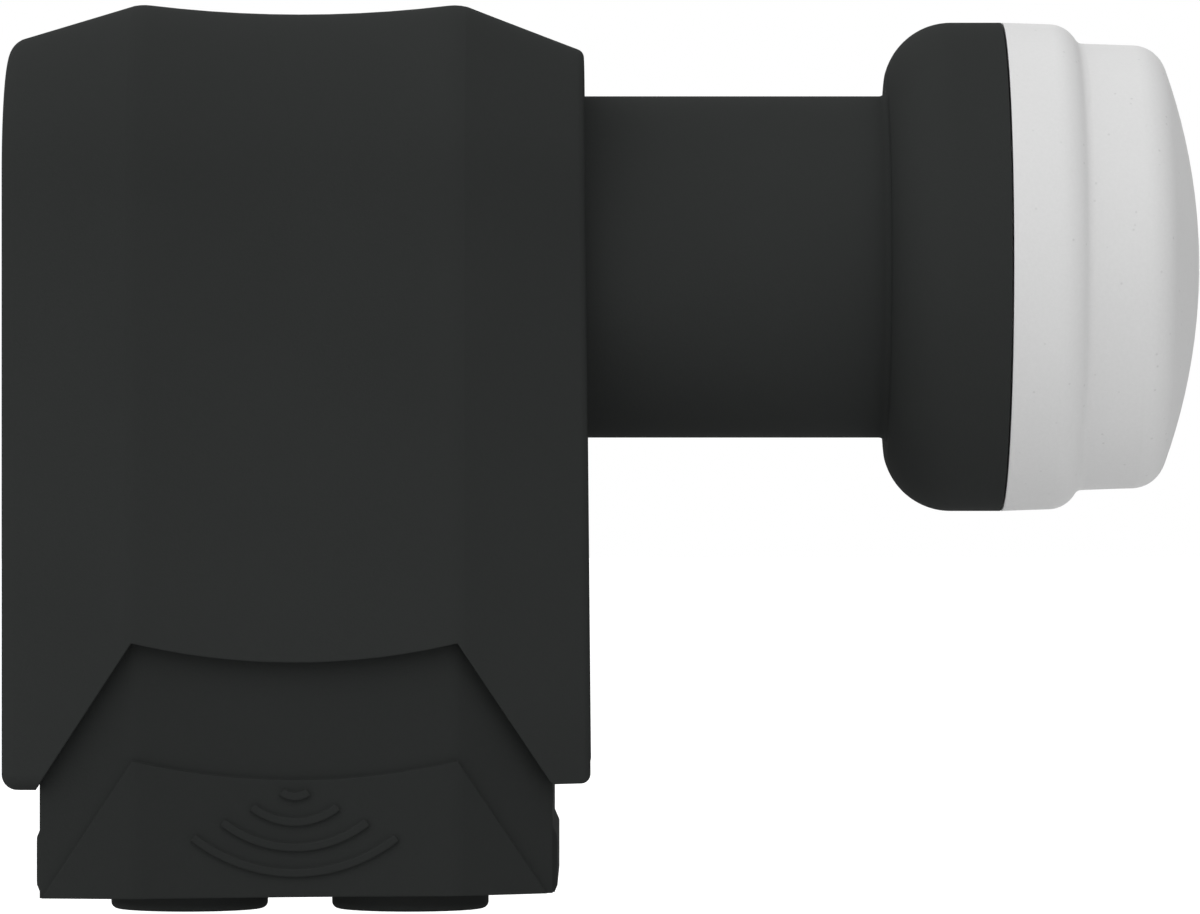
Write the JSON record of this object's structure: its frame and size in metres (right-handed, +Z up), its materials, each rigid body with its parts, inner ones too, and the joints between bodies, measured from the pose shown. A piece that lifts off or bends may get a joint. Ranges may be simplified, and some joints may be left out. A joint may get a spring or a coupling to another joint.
{
  "type": "satellite lnb",
  "caption": "Satellite LNB with a faceted hood, a sliding weather shroud over its output connectors, a clamp neck and a capped feed horn.",
  "frame": {"origin": "on the neck's axis, halfway between the front cover and the collar", "axes": "+X along the neck, out of the feed cap; +Z up, away from the outputs"},
  "size_m": [0.1384, 0.0598, 0.1044],
  "materials": {
    "black_plastic": "fine matte grain",
    "shroud_plastic": "fine matte grain",
    "pale_plastic": "matte, slightly speckled",
    "die_cast": "as cast",
    "connector_plating": "nickel plated",
    "contact_brass": "plated",
    "copper": "bare copper",
    "insulator": "smooth",
    "seal_rubber": "smooth",
    "board": "solder mask",
    "chip": "moulded",
    "can": "drawn can",
    "screw_steel": "zinc plated"
  },
  "bodies": {
    "housing": {"backshort_cover": "die_cast", "backshort_screws": "screw_steel", "board_screws": "screw_steel", "cap_seal": "seal_rubber", "capacitors": "can", "chassis": "die_cast", "connector_body_1": "connector_plating", "connector_body_2": "connector_plating", "connector_body_3": "connector_plating", "connector_body_4": "connector_plating", "connector_contact_1": "contact_brass", "connector_contact_2": "contact_brass", "connector_contact_3": "contact_brass", "connector_contact_4": "contact_brass", "connector_insulator_1": "insulator", "connector_insulator_2": "insulator", "connector_insulator_3": "insulator", "connector_insulator_4": "insulator", "connector_plate": "die_cast", "connector_seal_1": "seal_rubber", "connector_seal_2": "seal_rubber", "connector_seal_3": "seal_rubber", "connector_seal_4": "seal_rubber", "crystal": "can", "feed_cap": "pale_plastic", "feed_horn": "die_cast", "front_cover": "black_plastic", "header_block": "chip", "header_pins": "contact_brass", "hood": "black_plastic", "lid_gasket": "seal_rubber", "lid_screws": "screw_steel", "neck_seal": "seal_rubber", "neck_sleeve": "black_plastic", "output_board": "board", "plate_gasket": "seal_rubber", "plate_screws": "screw_steel", "probe_strips": "copper", "rear_lid": "die_cast", "receiver_board": "board", "receiver_chips": "chip", "regulators": "chip", "switch_chip": "chip"},
    "shroud": {"slider": "shroud_plastic"}
  },
  "joints": [
    {"name": "shroud_slide", "type": "slide", "parent": "housing", "child": "shroud", "axis": [0, 0, 1], "range_m": [-0.01, 0.0128]}
  ]
}
